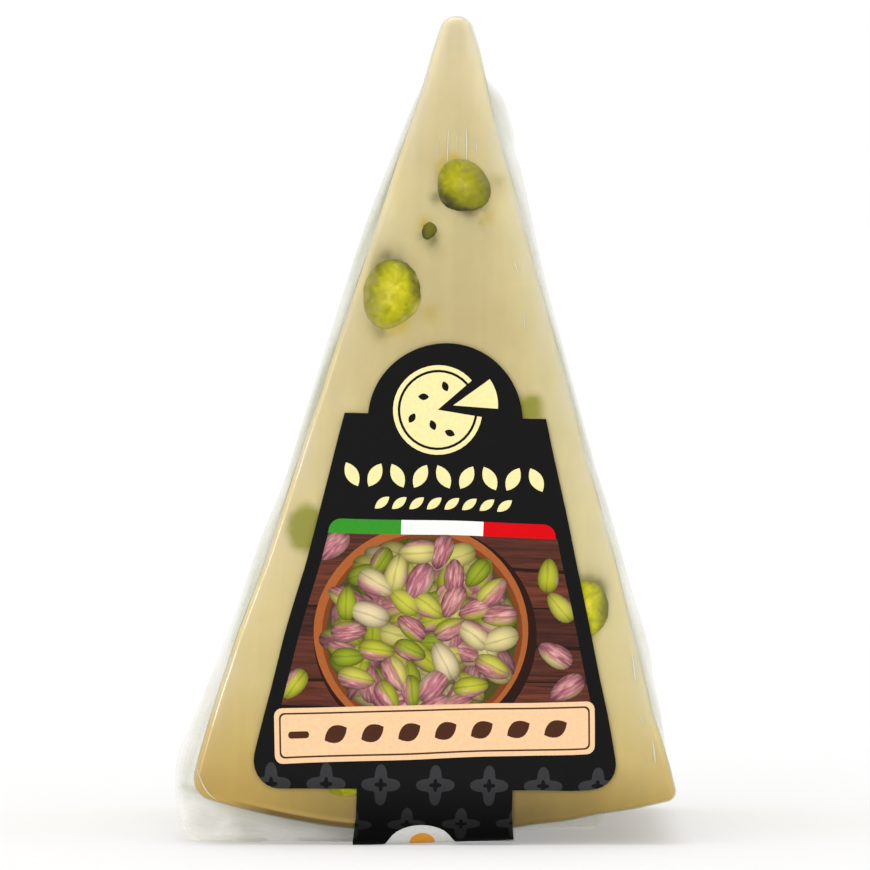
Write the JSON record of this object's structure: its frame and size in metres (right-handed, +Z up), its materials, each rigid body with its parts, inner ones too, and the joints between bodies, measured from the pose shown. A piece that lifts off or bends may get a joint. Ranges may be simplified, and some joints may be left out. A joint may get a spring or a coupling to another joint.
{
  "type": "pecorino wedge",
  "caption": "Vacuum-packed wedge of pistachio pecorino standing on its rim, with a welded film flange and a paper label that runs under it.",
  "frame": {"origin": "on the floor, directly below the centre of the wheel the wedge was cut from, on the flat underside of the label", "axes": "+X to the right seen from the front, +Y from the front face to the back face, +Z up towards the tip"},
  "size_m": [0.0592, 0.0662, 0.0978],
  "materials": {
    "packed_cheese": "pale straw-coloured cheese under clear glossy vacuum film",
    "paper_label": "black satin-coated paper with a printed picture panel",
    "pistachio": "yellow-green pistachio kernel with a darker skin"
  },
  "bodies": {
    "root": {"vacuum_pack": "packed_cheese", "label": "paper_label", "pistachio_01": "pistachio", "pistachio_02": "pistachio", "pistachio_03": "pistachio", "pistachio_04": "pistachio", "pistachio_05": "pistachio", "pistachio_06": "pistachio", "pistachio_07": "pistachio", "pistachio_08": "pistachio", "pistachio_09": "pistachio", "pistachio_10": "pistachio", "pistachio_11": "pistachio", "pistachio_12": "pistachio", "pistachio_13": "pistachio", "pistachio_14": "pistachio", "pistachio_15": "pistachio", "pistachio_16": "pistachio", "pistachio_17": "pistachio", "pistachio_18": "pistachio", "pistachio_19": "pistachio", "pistachio_20": "pistachio", "pistachio_21": "pistachio", "pistachio_22": "pistachio", "pistachio_23": "pistachio", "pistachio_24": "pistachio", "pistachio_25": "pistachio", "pistachio_26": "pistachio", "pistachio_27": "pistachio", "pistachio_28": "pistachio"}
  },
  "joints": []
}
